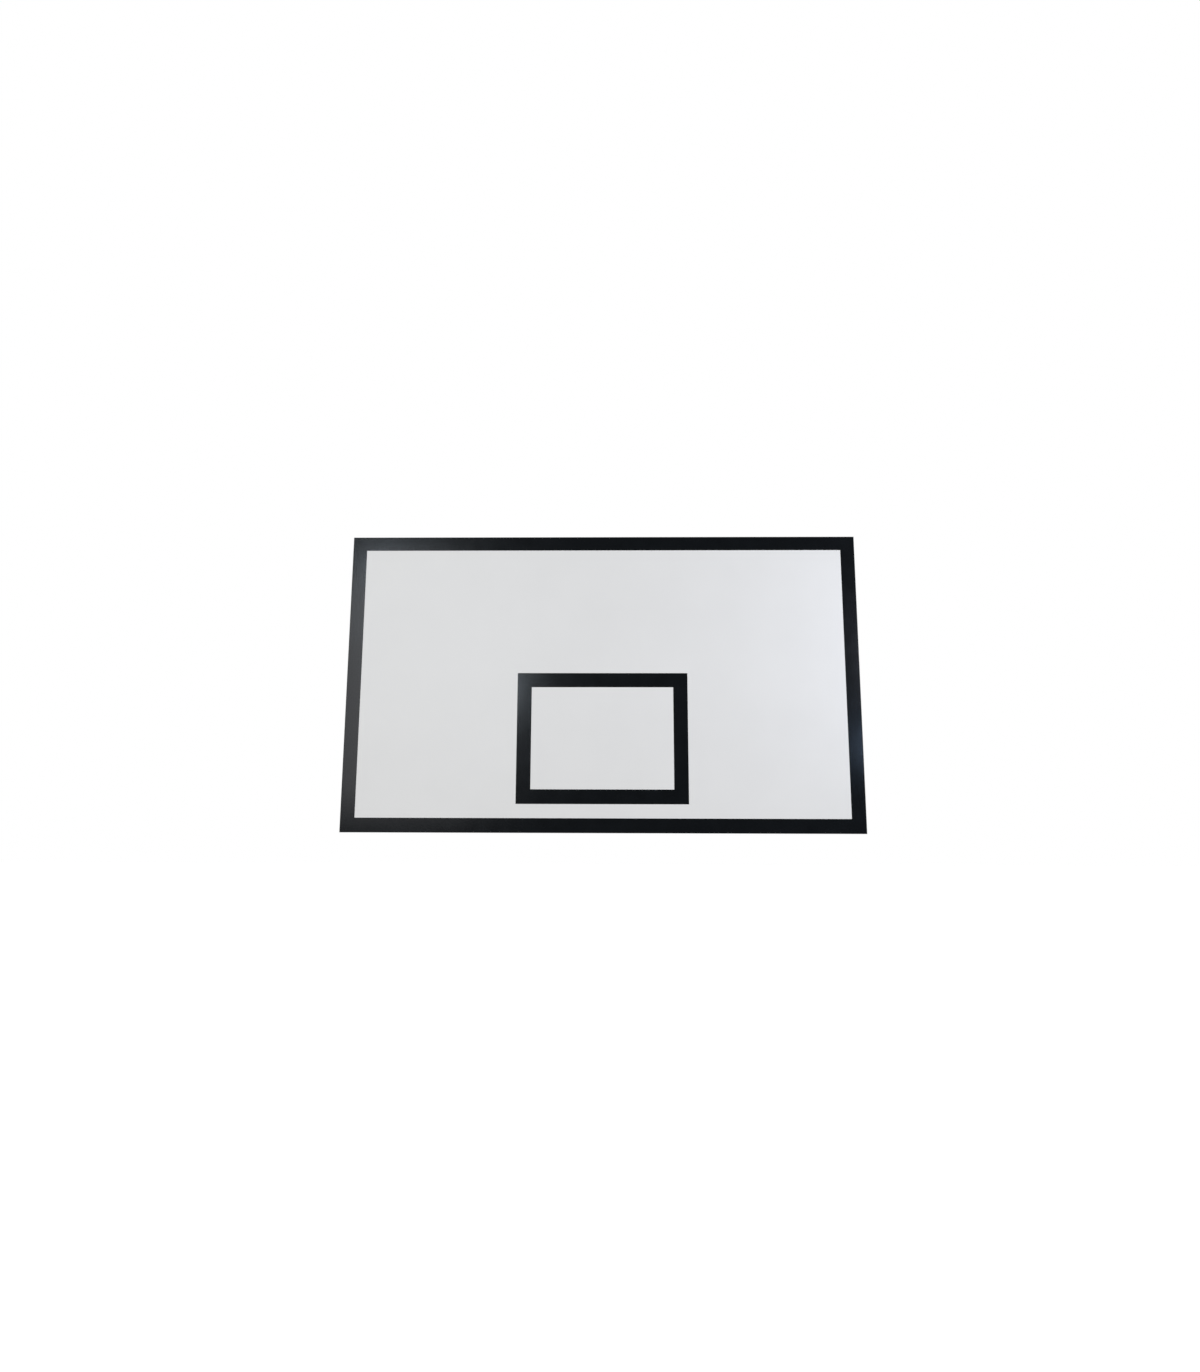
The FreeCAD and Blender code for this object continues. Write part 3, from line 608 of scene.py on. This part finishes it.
@dataclass
class BeadMaker:
    """Lays rippled weld beads: one bead of each length is modelled, and the seams get copies of it."""

    leg: float = 4.5 * MM
    butt_half_width: float = 4.5 * MM
    butt_crown: float = 1.7 * MM
    pitch: float = 3.2 * MM
    sides: int = 16
    sink: float = 0.2 * MM
    smooth_angle: float = math.radians(50)
    # Along one ripple: where its rings stand, as shares of the pitch, and how wide they are, as shares
    # of the leg
    ring_shares: tuple[float, ...] = (0.0, 0.4, 0.75, 1.0)
    swell_shares: tuple[float, ...] = (0.88, 1.0, 0.97, 0.88)
    # The crown of each ripple runs ahead of its toes: how near the crown, and how far ahead
    lead_shares: tuple[tuple[float, float], ...] = ((0.6, 0.25), (0.9, 0.2))
    end_share: float = 0.6
    # Points nearer than this share of the pitch are one point
    merge_share: float = 0.01
    fewest_ripples: int = 2
    # Edges and faces are sorted by how near they are to this point, off the bead's planes of symmetry
    sort_point: tuple[float, float, float] = (-31.7 * MM, 12.9 * MM, 5.3 * MM)
    masters: dict[tuple[Joint, int], bpy.types.Object] = field(default_factory=dict)

    def ripple(self) -> bpy.types.Object:
        """Models one ripple as an open tube along X.

        Returns:
            The new object, which starts at the origin.
        """
        deselect_all()
        depth = self.ring_shares[1] * self.pitch
        bpy.ops.mesh.primitive_cylinder_add(
            vertices=self.sides,
            radius=self.leg,
            depth=depth,
            end_fill_type="NOTHING",
            location=(depth / 2, 0, 0),
            rotation=(0, math.pi / 2, 0),
        )
        made = bpy.context.object
        bpy.ops.object.transform_apply(location=True, rotation=True, scale=True)
        bpy.ops.object.mode_set(mode="EDIT")
        select_points(made, lambda place: place.x < depth / 2)
        bpy.ops.transform.resize(value=(1, self.swell_shares[0], self.swell_shares[0]))
        select_points(made, lambda place: place.x > depth / 2)
        for ring in range(2, len(self.ring_shares)):
            step = (self.ring_shares[ring] - self.ring_shares[ring - 1]) * self.pitch
            swell = self.swell_shares[ring] / self.swell_shares[ring - 1]
            bpy.ops.mesh.extrude_region_move(TRANSFORM_OT_translate={"value": (step, 0, 0)})
            bpy.ops.transform.resize(value=(1, swell, swell))
        bpy.ops.object.mode_set(mode="OBJECT")
        return made

    def sort(self) -> None:
        """Puts the edges and faces of a bead in one order, since extruding leaves another one each time."""
        bpy.context.scene.cursor.location = self.sort_point
        bpy.ops.mesh.select_all(action="SELECT")
        bpy.ops.mesh.sort_elements(type="CURSOR_DISTANCE", elements={"EDGE", "FACE"})
        # Leaving edit mode and coming back makes the mesh anew in that order
        bpy.ops.object.mode_set(mode="OBJECT")
        bpy.ops.object.mode_set(mode="EDIT")

    def close_ends(self, made: bpy.types.Object, length: float) -> None:
        """Draws both ends of a bead in and fills them.

        Args:
            made: The bead, an open tube from the origin along X.
            length: How long it is.
        """
        ends = ((0.0, -1), (length, 1))
        step = self.end_share * self.pitch
        for end, way in ends:
            select_points(made, lambda place: abs(place.x - end) < self.pitch * self.merge_share)
            bpy.ops.mesh.extrude_region_move(TRANSFORM_OT_translate={"value": (way * step, 0, 0)})
            bpy.ops.transform.resize(value=(1, self.end_share, self.end_share))
        self.sort()
        for end, way in ends:
            select_points(made, lambda place: way * (place.x - end) > step / 2)
            bpy.ops.mesh.edge_face_add()

    def lead_crown(self, made: bpy.types.Object, crown: Vector) -> None:
        """Pushes the crown of the ripples ahead of their toes, as a weld pool leaves them.

        Args:
            made: The bead, in edit mode.
            crown: The direction of the crown from the bead's axis.
        """
        for near, ahead in self.lead_shares:
            select_points(made, lambda place: place.dot(crown) > near * math.hypot(place.y, place.z))
            bpy.ops.transform.translate(value=(ahead * self.pitch, 0, 0))

    def master(self, joint: Joint, count: int) -> bpy.types.Object:
        """Models a bead of one section and length, or gives the one modelled before.

        Args:
            joint: The section.
            count: The number of ripples.

        Returns:
            The bead, along X with its middle at the origin, on the faces y = 0 and z = 0 or on z = 0 alone.
        """
        if (joint, count) in self.masters:
            return self.masters[joint, count]
        made = self.ripple()
        array = made.modifiers.new("ripples", "ARRAY")
        array.count = count
        array.use_relative_offset = False
        array.use_constant_offset = True
        array.constant_offset_displace = (self.pitch, 0, 0)
        array.use_merge_vertices = True
        array.merge_threshold = self.pitch * self.merge_share
        bpy.ops.object.modifier_apply(modifier=array.name)
        bpy.ops.object.mode_set(mode="EDIT")
        self.close_ends(made, count * self.pitch)
        fillet = joint is Joint.FILLET
        self.lead_crown(made, (Y_AXIS + Z_AXIS).normalized() if fillet else Z_AXIS)
        if not fillet:
            bpy.ops.mesh.select_all(action="SELECT")
            squash = (1, self.butt_half_width / self.leg, self.butt_crown / self.leg)
            bpy.ops.transform.resize(value=squash)
        for normal in (Y_AXIS, Z_AXIS) if fillet else (Z_AXIS,):
            bpy.ops.mesh.select_all(action="SELECT")
            bpy.ops.mesh.bisect(plane_co=(0, 0, 0), plane_no=normal, use_fill=True, clear_inner=True)
        bpy.ops.mesh.select_all(action="SELECT")
        bpy.ops.transform.translate(value=(-count * self.pitch / 2, 0, 0))
        bpy.ops.mesh.normals_make_consistent(inside=False)
        bpy.ops.object.mode_set(mode="OBJECT")
        bpy.ops.object.shade_smooth_by_angle(angle=self.smooth_angle)
        self.masters[joint, count] = made
        return made

    def lay(self, name: str, seams: list[Seam], material: bpy.types.Material) -> None:
        """Lays a bead on each seam and joins the beads into one piece, which rides on the board.

        Args:
            name: The piece's name.
            seams: Where the beads lie.
            material: What the beads are dressed with.
        """
        beads = []
        for seam in seams:
            source = self.master(seam.joint, max(self.fewest_ripples, round(seam.run.length / self.pitch)))
            bead = bpy.data.objects.new(name, source.data.copy())
            bead.data.transform(seam.place(self.sink))
            bpy.context.collection.objects.link(bead)
            beads.append(bead)
        deselect_all()
        for bead in beads:
            bead.select_set(True)
        bpy.context.view_layer.objects.active = beads[0]
        bpy.ops.object.join()
        piece = bpy.context.object
        piece.name = piece.data.name = name
        piece.data.materials.append(material)
        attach(piece, BODY)
        LOG.info("laid %s: %d beads, %d faces", name, len(seams), len(piece.data.polygons))

    def clear(self) -> None:
        """Removes the beads that were only modelled to be copied."""
        for made in self.masters.values():
            bpy.data.objects.remove(made)
        self.masters.clear()


@dataclass
class SteelFrame:
    """The welded frame: square tubes, uprights, ring beam, tabs, gussets, mount plates and their welds."""

    # Hot-dip zinc: a pale, slightly blue grey, broken into crystals that shine one by one
    zinc: Finish = HotDipZinc("hot_dip_zinc", "B9BEC1", 0.42, metallic=1.0)
    # The same coat on a weld: duller, darker and with smaller crystals
    weld_zinc: Finish = HotDipZinc("hot_dip_zinc_on_welds", "AEB3B6", 0.50, metallic=1.0, spangle=6 * MM)
    # Moulded polyethylene: a grey black with a waxy sheen
    plug: Finish = MouldedPlastic("polyethylene_plug_black", "16181A", 0.45, ior=1.51)
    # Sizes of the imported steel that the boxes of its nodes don't give
    rail_corner: float = 4 * MM
    upright_corner: float = 6 * MM
    beam_bend: float = 10 * MM
    beam_wall: float = 5 * MM
    gusset_clip: float = 14 * MM
    gusset_leg: float = 90 * MM
    tab_length: float = 45 * MM
    tab_thickness: float = 5 * MM
    rib_thickness: float = 5 * MM
    rib_inset: float = 5 * MM
    # Tabs of the middle bay and of the right bay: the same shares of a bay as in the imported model
    middle_top_shares: tuple[float, ...] = (-0.55, 0.55)
    side_top_shares: tuple[float, ...] = (0.65,)
    side_middle_shares: tuple[float, ...] = (0.5,)
    side_bottom_shares: tuple[float, ...] = (0.25, 0.72)
    steel: tuple[str, ...] = (
        "top_rail",
        "stile_left",
        "stile_right",
        "bottom_rail_left",
        "bottom_rail_right",
        "upright_left",
        "upright_right",
        "mid_rail_left",
        "mid_rail_centre",
        "mid_rail_right",
        "ring_beam",
        "corner_gussets",
        "fixing_tabs",
        "mount_plate_upper_left",
        "mount_plate_upper_right",
        "mount_plate_lower_left",
        "mount_plate_lower_right",
        "mount_ribs",
    )
    # Where the faces of the tubes on the right and at the top lie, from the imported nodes
    stile_inner: float = field(init=False)
    stile_outer: float = field(init=False)
    front: float = field(init=False)
    rear: float = field(init=False)
    top_inner: float = field(init=False)
    top_outer: float = field(init=False)
    mid_low: float = field(init=False)
    mid_high: float = field(init=False)
    upright_inner: float = field(init=False)
    upright_outer: float = field(init=False)
    beam_low: float = field(init=False)
    beam_high: float = field(init=False)
    # The middle of the tubes' depth, the run of a bead on their sides and the width of their flats
    depth_middle: float = field(init=False)
    side_run: Vector = field(init=False)
    flat: float = field(init=False)

    def __post_init__(self) -> None:
        """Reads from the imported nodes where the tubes' faces lie."""
        low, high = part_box("stile_right")
        self.stile_inner, self.stile_outer = low.x, high.x
        self.front, self.rear = low.y, high.y
        low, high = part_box("top_rail")
        self.top_inner, self.top_outer = low.z, high.z
        low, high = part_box("mid_rail_right")
        self.mid_low, self.mid_high = low.z, high.z
        low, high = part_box("upright_right")
        self.upright_inner, self.upright_outer = low.x, high.x
        low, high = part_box("ring_beam")
        self.beam_low, self.beam_high = low.z, high.z
        self.depth_middle = (self.front + self.rear) / 2
        self.side_run = Y_AXIS * (self.rear - self.front - 2 * self.upright_corner)
        self.flat = self.top_outer - self.top_inner - 2 * self.rail_corner

    def mitre_seams(self) -> list[Seam]:
        """Gives the seams of the four mitred corners: across the rear and up the inside.

        Returns:
            A butt bead and a fillet bead for each corner.
        """
        x, z = (self.stile_inner + self.stile_outer) / 2, (self.top_inner + self.top_outer) / 2
        seams = []
        for way_x, way_z in CORNERS:
            run = Vector((way_x, 0, way_z)) * self.flat
            seams.append(Seam(Joint.BUTT, Vector((way_x * x, self.rear, way_z * z)), run, (Y_AXIS,)))
            corner = Vector((way_x * self.stile_inner, self.depth_middle, way_z * self.top_inner))
            faces = (-way_x * X_AXIS, -way_z * Z_AXIS)
            seams.append(Seam(Joint.FILLET, corner, self.side_run, faces))
        return seams

    def rail_end_seams(self, x: float, away: int, z_low: float, z_high: float) -> list[Seam]:
        """Gives the seams where a level rail ends on an upright face.

        Args:
            x: Where the upright face is.
            away: The side of that face on which the rail lies, -1 or 1.
            z_low: The rail's underside.
            z_high: The rail's top.

        Returns:
            A bead over the rear, one on top and one underneath.
        """
        rear = Vector((x, self.rear, (z_low + z_high) / 2))
        seams = [Seam(Joint.BUTT, rear, Z_AXIS * self.flat, (Y_AXIS,))]
        for z, up in ((z_low, -1), (z_high, 1)):
            corner = Vector((x, self.depth_middle, z))
            seams.append(Seam(Joint.FILLET, corner, self.side_run, (away * X_AXIS, up * Z_AXIS)))
        return seams

    def rail_seams(self) -> list[Seam]:
        """Gives the seams of the middle rails, of the lower rails and of the uprights' upper ends.

        Returns:
            The beads on every rail's end and under the top rail.
        """
        seams = []
        for way in SIGNS:
            for x, away in ((self.stile_inner, -1), (self.upright_outer, 1), (self.upright_inner, -1)):
                seams += self.rail_end_seams(way * x, way * away, self.mid_low, self.mid_high)
            seams += self.rail_end_seams(way * self.upright_outer, way, -self.top_outer, -self.top_inner)
            x = way * (self.upright_inner + self.upright_outer) / 2
            run = X_AXIS * (self.upright_outer - self.upright_inner - 2 * self.upright_corner)
            seams.append(Seam(Joint.BUTT, Vector((x, self.rear, self.top_inner)), run, (Y_AXIS,)))
            for side, out in ((self.upright_inner, -1), (self.upright_outer, 1)):
                corner = Vector((way * side, self.depth_middle, self.top_inner))
                seams.append(Seam(Joint.FILLET, corner, self.side_run, (way * out * X_AXIS, -Z_AXIS)))
        return seams

    def beam_seams(self) -> list[Seam]:
        """Gives the seams at both ends of the ring beam: up the web and along the flanges.

        Returns:
            One bead on the web and three on the flanges, for each end.
        """
        seams = []
        web = self.front + self.beam_wall
        flange_run = Y_AXIS * (self.rear - self.front - self.beam_bend - self.upright_corner)
        flange_y = (self.front + self.beam_bend + self.rear - self.upright_corner) / 2
        for way in SIGNS:
            x, inward = way * self.upright_inner, -way * X_AXIS
            middle = Vector((x, web, (self.beam_low + self.beam_high) / 2))
            run = Z_AXIS * (self.beam_high - self.beam_low - 2 * self.beam_bend)
            seams.append(Seam(Joint.FILLET, middle, run, (inward, Y_AXIS)))
            flanges = (
                (self.beam_high, 1),
                (self.beam_high - self.beam_wall, -1),
                (self.beam_low + self.beam_wall, 1),
            )
            for z, up in flanges:
                corner = Vector((x, flange_y, z))
                seams.append(Seam(Joint.FILLET, corner, flange_run, (inward, up * Z_AXIS)))
        return seams

    def tab_seams(self) -> list[Seam]:
        """Gives the seam behind each fixing tab.

        Returns:
            One bead for each tab.
        """
        places = [(share * self.upright_inner, self.top_inner, -Z_AXIS) for share in self.middle_top_shares]
        places.append((0.0, self.mid_high, Z_AXIS))
        rows = (
            (self.side_top_shares, self.top_inner, -Z_AXIS),
            (self.side_middle_shares, self.mid_high, Z_AXIS),
            (self.side_bottom_shares, -self.top_inner, Z_AXIS),
        )
        bay = self.stile_inner - self.upright_outer
        for way in SIGNS:
            for shares, z, out in rows:
                places += [(way * (self.upright_outer + share * bay), z, out) for share in shares]
            for z_low, z_high in ((-self.top_inner, self.mid_low), (self.mid_high, self.top_inner)):
                places.append((way * self.stile_inner, (z_low + z_high) / 2, -way * X_AXIS))
        seams = []
        for x, z, out in places:
            middle = Vector((x, self.front + self.tab_thickness, z))
            seams.append(Seam(Joint.FILLET, middle, out.cross(Y_AXIS) * self.tab_length, (out, Y_AXIS)))
        return seams

    def gusset_seams(self) -> list[Seam]:
        """Gives the seams behind the two legs of each corner gusset.

        Returns:
            Two beads for each gusset.
        """
        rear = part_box("corner_gussets")[1].y
        half = (self.gusset_clip + self.gusset_leg) / 2
        reach = self.gusset_leg - self.gusset_clip
        seams = []
        for way_x, way_z in CORNERS:
            x, z = way_x * self.stile_inner, way_z * self.top_inner
            level = Vector((x - way_x * half, rear, z))
            seams.append(Seam(Joint.FILLET, level, X_AXIS * reach, (Y_AXIS, -way_z * Z_AXIS)))
            upright = Vector((x, rear, z - way_z * half))
            seams.append(Seam(Joint.FILLET, upright, Z_AXIS * reach, (Y_AXIS, -way_x * X_AXIS)))
        return seams

    def mount_seams(self) -> list[Seam]:
        """Gives the seams of the mount plates and of the ribs in front of them.

        Returns:
            The beads on each plate's edges and back and on both faces of its ribs.
        """
        low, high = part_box("mount_plate_upper_right")
        rib_low, rib_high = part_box("mount_ribs")
        x_flat = self.upright_inner + self.upright_corner, self.upright_outer - self.upright_corner
        x_outer, rib_reach = self.upright_outer, rib_high.x
        height = high.z - low.z
        seams = []
        for way_x, way_z in CORNERS:
            middle = way_z * (low.z + high.z) / 2
            for up in SIGNS:
                edge = Vector((way_x * sum(x_flat) / 2, self.rear, middle + up * height / 2))
                run = X_AXIS * (x_flat[1] - x_flat[0])
                seams.append(Seam(Joint.FILLET, edge, run, (Y_AXIS, up * Z_AXIS)))
                outer_face = middle + up * (height / 2 - self.rib_inset)
                for z, face in ((outer_face, up), (outer_face - up * self.rib_thickness, -up)):
                    on_plate = Vector((way_x * (x_outer + rib_reach) / 2, rib_high.y, z))
                    run = X_AXIS * (rib_reach - x_outer)
                    seams.append(Seam(Joint.FILLET, on_plate, run, (-Y_AXIS, face * Z_AXIS)))
                    on_side = Vector((way_x * x_outer, (rib_low.y + rib_high.y) / 2, z))
                    run = Y_AXIS * (rib_high.y - rib_low.y)
                    seams.append(Seam(Joint.FILLET, on_side, run, (way_x * X_AXIS, face * Z_AXIS)))
            behind = Vector((way_x * x_outer, self.rear, middle))
            run = Z_AXIS * (height - 2 * (self.rib_inset + self.rib_thickness))
            seams.append(Seam(Joint.FILLET, behind, run, (way_x * X_AXIS, -Y_AXIS)))
        return seams

    def lay_welds(self) -> None:
        """Lays the weld beads, one piece for each kind of joint."""
        groups = {
            "mitre_welds": self.mitre_seams(),
            "rail_welds": self.rail_seams(),
            "ring_beam_welds": self.beam_seams(),
            "tab_welds": self.tab_seams(),
            "gusset_welds": self.gusset_seams(),
            "mount_welds": self.mount_seams(),
        }
        material = self.weld_zinc.material()
        maker = BeadMaker()
        for name, seams in groups.items():
            maker.lay(name, seams, material)
        maker.clear()

    def build(self) -> None:
        """Dresses the steel and the plugs and lays the welds."""
        dress(self.steel, self.zinc)
        dress(("upright_plugs",), self.plug)
        self.lay_welds()


@dataclass
class Fasteners:
    """The loose steel that holds the panel to the frame."""

    # Plated and passivated zinc: brighter and smoother than the frame, with a breath of straw
    plated: Finish = PlatedZinc("plated_zinc", "BABEC1", 0.27, metallic=1.0)

    def build(self) -> None:
        """Dresses bolts, washers and threaded sleeves."""
        dress(("panel_bolts", "panel_washers", "panel_inserts"), self.plated)


@dataclass(frozen=True)
class Softbox:
    """A flat studio lamp, with its power in watts and its turn in its own plane."""

    name: str
    place: tuple[float, float, float]
    aim: tuple[float, float, float]
    width: float
    height: float
    power: float
    colour: str
    turn: float = 0.0

    def build(self) -> None:
        """Adds the lamp."""
        deselect_all()
        bpy.ops.object.light_add(type="AREA", location=self.place)
        lamp = bpy.context.object
        lamp.name = self.name
        lamp.rotation_euler = facing(Vector(self.place), Vector(self.aim), self.turn)
        lamp.data.shape = "RECTANGLE"
        lamp.data.size = self.width
        lamp.data.size_y = self.height
        lamp.data.energy = self.power
        lamp.data.color = linear(self.colour)[:3]


@dataclass
class Studio:
    """A white studio with the board hung at playing height, and the camera of the photograph."""

    # The lower edge of a board in play is 2.9 m above the floor
    edge_height: float = 2.9
    floor_size: float = 80.0
    floor_colour: str = "E7E7E7"
    floor_roughness: float = 0.9
    # What the eye sees of the floor is lifted to white by this much
    floor_lift: float = 0.365
    # How strongly the world lights the board, where 1 is the white that the eye sees
    world_light: float = 0.806
    # The edges of the black flag, and its place behind the camera
    flag_left: float = -7.0
    flag_right: float = 7.0
    flag_low: float = -6.0
    flag_high: float = 7.0
    flag_y: float = -4.6
    flag_colour: str = "0A0A0A"
    # Each lamp: its name, place, aim, width, height, power, colour and, where it has one, its turn
    lamps: tuple[Softbox, ...] = (
        Softbox("key_softbox", (1.63, -1.23, 0.32), (0.3, -0.07, 0.0), 0.4, 0.43, 7.7, "E2EAFF"),
        Softbox("broad_softbox", (-1.85, -4.2, 0.58), (-1.85, 0.0, 0.58), 1.4, 2.06, 15.0, "FBFCFF", 0.084),
        Softbox("slant_strip", (-1.5, -4.2, 1.1), (-1.5, 0.0, 1.1), 0.22, 1.66, 20.8, "E6F3FF", 0.764),
        Softbox("side_strip", (1.67, -2.27, -0.056), (1.2, 0.0, -0.1), 0.1, 0.2, 0.57, "B6D6FF"),
        Softbox("back_softbox", (-2.4, 3.2, 2.6), (0.0, 0.0, 0.0), 3.6, 3.6, 52.0, "FFFFFF"),
    )
    # The camera that fits the photograph: its focal length in pixels of a 1200 x 1372 image, its place
    # from the middle of the lines' front, the point of that plane on its axis, and its slight roll
    focal_pixels: float = 800.0
    image_height: float = 1372.0
    camera_place: tuple[float, float, float] = (30.0 * MM, -2770.2 * MM, -436.1 * MM)
    camera_aim: tuple[float, float, float] = (-8.5 * MM, 0.0, -17.7 * MM)
    camera_roll: float = math.radians(0.159)

    def seen(self, tree: bpy.types.NodeTree) -> bpy.types.NodeSocket:
        """Adds the test for rays that show the background: from the camera, off gloss or through glass.

        Args:
            tree: The node tree of the world or of the floor.

        Returns:
            A socket that is one for those rays and zero for others.
        """
        path = add_node(tree, "LightPath").outputs
        shown = add_node(
            tree, "Math", {0: path["Is Camera Ray"], 1: path["Is Glossy Ray"]}, operation="MAXIMUM"
        )
        rays = {0: shown.outputs[0], 1: path["Is Transmission Ray"]}
        return add_node(tree, "Math", rays, operation="MAXIMUM").outputs[0]

    def add_world(self) -> None:
        """Makes the surroundings white to the eye and gives the board a plain level of light."""
        world = bpy.data.worlds.new("white_studio")
        bpy.context.scene.world = world
        tree = blank_tree(world)
        levels = {"To Min": self.world_light, "To Max": 1.0}
        strength = add_node(tree, "MapRange", {"Value": self.seen(tree)}, levels)
        sky = add_node(tree, "Background", {"Strength": strength.outputs[0]}, {"Color": WHITE})
        add_node(tree, "OutputWorld", {"Surface": sky.outputs[0]})

    def add_floor(self) -> None:
        """Adds the pale floor, which shows white and keeps the board's shadow."""
        deselect_all()
        level = CAD_BOX[0][2] - self.edge_height
        bpy.ops.mesh.primitive_plane_add(size=self.floor_size, location=(0, 0, level))
        floor = bpy.context.object
        floor.name = "studio_floor"
        paint = bpy.data.materials.new("matt_floor_paint")
        tree = blank_tree(paint)
        levels = {"To Min": 0.0, "To Max": self.floor_lift}
        lift = add_node(tree, "MapRange", {"Value": self.seen(tree)}, levels)
        values = {
            "Base Color": linear(self.floor_colour),
            "Roughness": self.floor_roughness,
            "Emission Color": WHITE,
        }
        shader = add_node(tree, "BsdfPrincipled", {"Emission Strength": lift.outputs[0]}, values)
        add_node(tree, "OutputMaterial", {"Surface": shader.outputs[0]})
        floor.data.materials.append(paint)

    def add_flag(self) -> None:
        """Adds the black flag behind the camera, which only reflections see: it keeps the lines deep."""
        deselect_all()
        bpy.ops.mesh.primitive_plane_add(size=1, rotation=(math.pi / 2, 0, 0))
        flag = bpy.context.object
        flag.name = "black_flag"
        width, height = self.flag_right - self.flag_left, self.flag_high - self.flag_low
        flag.scale = (width, height, 1)
        flag.location = (self.flag_left + width / 2, self.flag_y, self.flag_low + height / 2)
        bpy.ops.object.transform_apply(location=True, rotation=True, scale=True)
        flag.visible_camera = False
        flag.visible_diffuse = False
        flag.visible_shadow = False
        cloth = bpy.data.materials.new("black_flag_cloth")
        tree = blank_tree(cloth)
        shader = add_node(tree, "BsdfDiffuse", None, {"Color": linear(self.flag_colour)})
        add_node(tree, "OutputMaterial", {"Surface": shader.outputs[0]})
        flag.data.materials.append(cloth)

    def add_camera(self) -> None:
        """Adds the camera at the photograph's place and angle."""
        deselect_all()
        face = Vector((0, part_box("border_line")[0].y, 0))
        place, aim = face + Vector(self.camera_place), face + Vector(self.camera_aim)
        bpy.ops.object.camera_add(location=place)
        camera = bpy.context.object
        camera.rotation_euler = facing(place, aim, self.camera_roll)
        camera.data.lens = self.focal_pixels * camera.data.sensor_width / self.image_height
        bpy.context.scene.camera = camera

    def build(self) -> None:
        """Adds everything around the board."""
        bpy.context.scene.view_settings.view_transform = "Standard"
        self.add_world()
        self.add_floor()
        self.add_flag()
        for lamp in self.lamps:
            lamp.build()
        self.add_camera()


def main() -> None:
    """Builds the board, its frame, its fasteners and the studio, in that order."""
    logging.basicConfig(level=logging.INFO, format="%(name)s: %(message)s")
    for assembly in (Panel(), SteelFrame(), Fasteners(), Studio()):
        assembly.build()
        LOG.info("finished %s", type(assembly).__name__)


if __name__ == "__main__":
    main()
